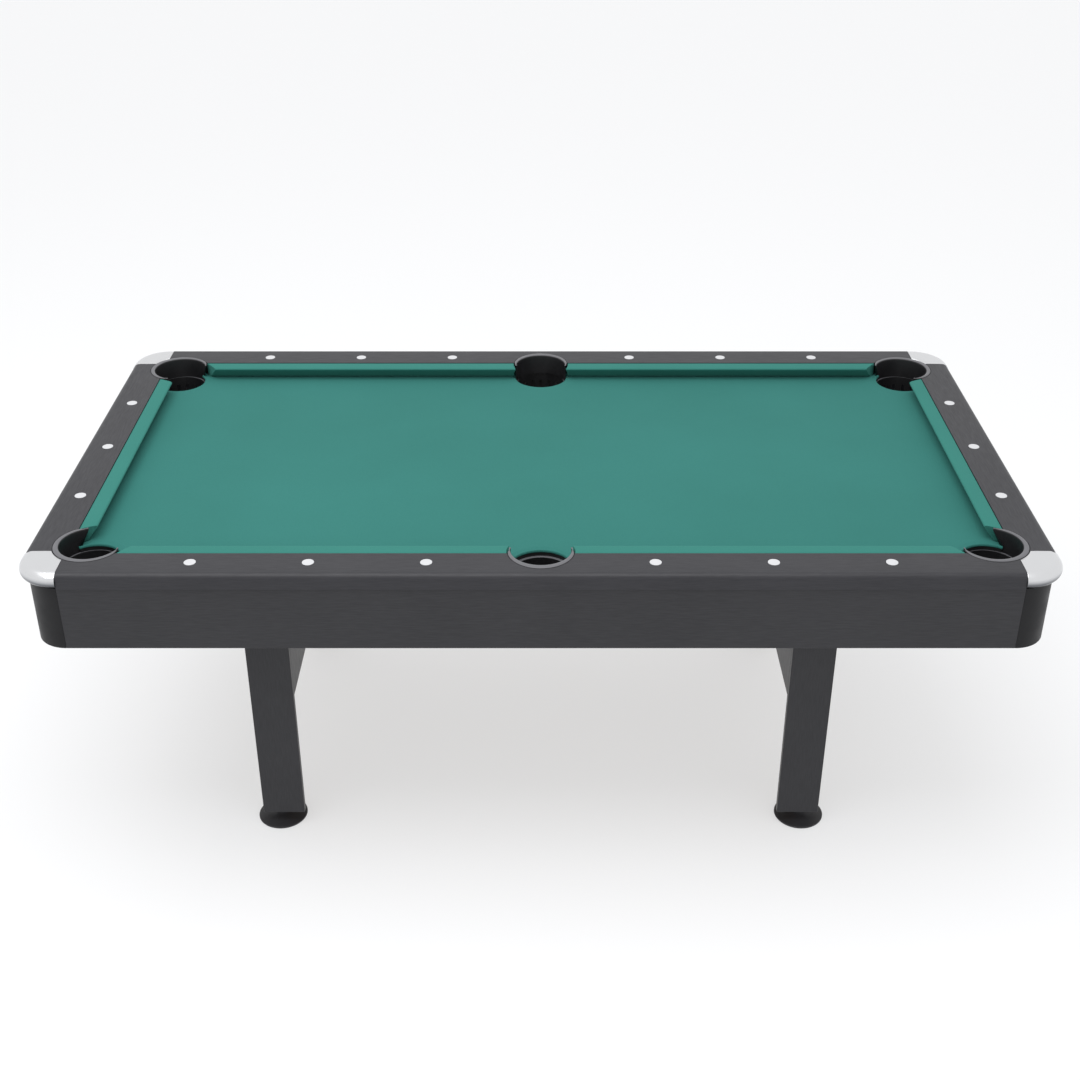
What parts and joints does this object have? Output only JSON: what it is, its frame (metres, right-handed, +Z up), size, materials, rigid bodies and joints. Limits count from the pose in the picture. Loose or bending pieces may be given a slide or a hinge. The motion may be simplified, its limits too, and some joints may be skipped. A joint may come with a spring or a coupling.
{
  "type": "pool table",
  "caption": "Free-standing pool table with a cloth bed, cushioned rails, drop pockets, metal corner caps, board legs and levelling feet.",
  "frame": {"origin": "middle of the table's outline, on the floor", "axes": "+X along the table to the right, +Y across it to the rear, +Z up"},
  "size_m": [2.139, 1.167, 0.7885],
  "materials": {
    "rail_laminate": "board wrapped in charcoal textured foil",
    "laminate": "board faced in charcoal foil with a fine grain",
    "bare_board": "bare fibreboard",
    "bed_cloth": "napped blue-green pool cloth",
    "cushion_cloth": "pool cloth over rubber",
    "corner_metal": "satin silver casting",
    "corner_plastic": "satin black moulding",
    "pocket_plastic": "moulded black plastic",
    "sight_plastic": "white inlay",
    "zinc_steel": "zinc-plated",
    "foot_plastic": "moulded black plastic"
  },
  "bodies": {
    "table": {"bed_panel": "bare_board", "bed_cloth": "bed_cloth", "bed_beams": "bare_board", "rail_front": "rail_laminate", "rail_rear": "rail_laminate", "rail_left": "rail_laminate", "rail_right": "rail_laminate", "rail_sights": "sight_plastic", "rail_bolts": "zinc_steel", "cushion_front_left": "cushion_cloth", "cushion_front_right": "cushion_cloth", "cushion_rear_left": "cushion_cloth", "cushion_rear_right": "cushion_cloth", "cushion_left": "cushion_cloth", "cushion_right": "cushion_cloth", "corner_cap_front_left": "corner_metal", "corner_cap_front_right": "corner_metal", "corner_cap_rear_left": "corner_metal", "corner_cap_rear_right": "corner_metal", "pocket_liner_front_left": "pocket_plastic", "pocket_liner_front_right": "pocket_plastic", "pocket_liner_rear_left": "pocket_plastic", "pocket_liner_rear_right": "pocket_plastic", "pocket_liner_front_middle": "pocket_plastic", "pocket_liner_rear_middle": "pocket_plastic", "pocket_cup_front_left": "pocket_plastic", "pocket_cup_front_right": "pocket_plastic", "pocket_cup_rear_left": "pocket_plastic", "pocket_cup_rear_right": "pocket_plastic", "pocket_cup_front_middle": "pocket_plastic", "pocket_cup_rear_middle": "pocket_plastic", "apron_front": "laminate", "apron_rear": "laminate", "apron_left": "laminate", "apron_right": "laminate", "apron_corner_front_left": "corner_plastic", "apron_corner_front_right": "corner_plastic", "apron_corner_rear_left": "corner_plastic", "apron_corner_rear_right": "corner_plastic", "corner_brackets": "zinc_steel", "bracket_screws": "zinc_steel", "leg_front_left": "laminate", "leg_front_right": "laminate", "leg_rear_left": "laminate", "leg_rear_right": "laminate", "leg_panel_left": "laminate", "leg_panel_right": "laminate", "leg_blocks": "bare_board", "leg_bolts": "zinc_steel", "foot_inserts": "zinc_steel"},
    "foot_stud_front_left": {"foot_stud_front_left": "zinc_steel"},
    "foot_pad_front_left": {"foot_pad_front_left": "foot_plastic"},
    "foot_stud_front_right": {"foot_stud_front_right": "zinc_steel"},
    "foot_pad_front_right": {"foot_pad_front_right": "foot_plastic"},
    "foot_stud_rear_left": {"foot_stud_rear_left": "zinc_steel"},
    "foot_pad_rear_left": {"foot_pad_rear_left": "foot_plastic"},
    "foot_stud_rear_right": {"foot_stud_rear_right": "zinc_steel"},
    "foot_pad_rear_right": {"foot_pad_rear_right": "foot_plastic"}
  },
  "joints": [
    {"name": "foot_lift_front_left", "type": "slide", "parent": "table", "child": "foot_stud_front_left", "axis": [0, 0, -1], "range_m": [0, 0.02]},
    {"name": "foot_swivel_front_left", "type": "hinge", "parent": "foot_stud_front_left", "child": "foot_pad_front_left", "pos_m": [-0.6135, -0.379, 0], "axis": [0, 0, 1], "continuous": true},
    {"name": "foot_lift_front_right", "type": "slide", "parent": "table", "child": "foot_stud_front_right", "axis": [0, 0, -1], "range_m": [0, 0.02]},
    {"name": "foot_swivel_front_right", "type": "hinge", "parent": "foot_stud_front_right", "child": "foot_pad_front_right", "pos_m": [0.6135, -0.379, 0], "axis": [0, 0, 1], "continuous": true},
    {"name": "foot_lift_rear_left", "type": "slide", "parent": "table", "child": "foot_stud_rear_left", "axis": [0, 0, -1], "range_m": [0, 0.02]},
    {"name": "foot_swivel_rear_left", "type": "hinge", "parent": "foot_stud_rear_left", "child": "foot_pad_rear_left", "pos_m": [-0.6135, 0.379, 0], "axis": [0, 0, 1], "continuous": true},
    {"name": "foot_lift_rear_right", "type": "slide", "parent": "table", "child": "foot_stud_rear_right", "axis": [0, 0, -1], "range_m": [0, 0.02]},
    {"name": "foot_swivel_rear_right", "type": "hinge", "parent": "foot_stud_rear_right", "child": "foot_pad_rear_right", "pos_m": [0.6135, 0.379, 0], "axis": [0, 0, 1], "continuous": true}
  ]
}
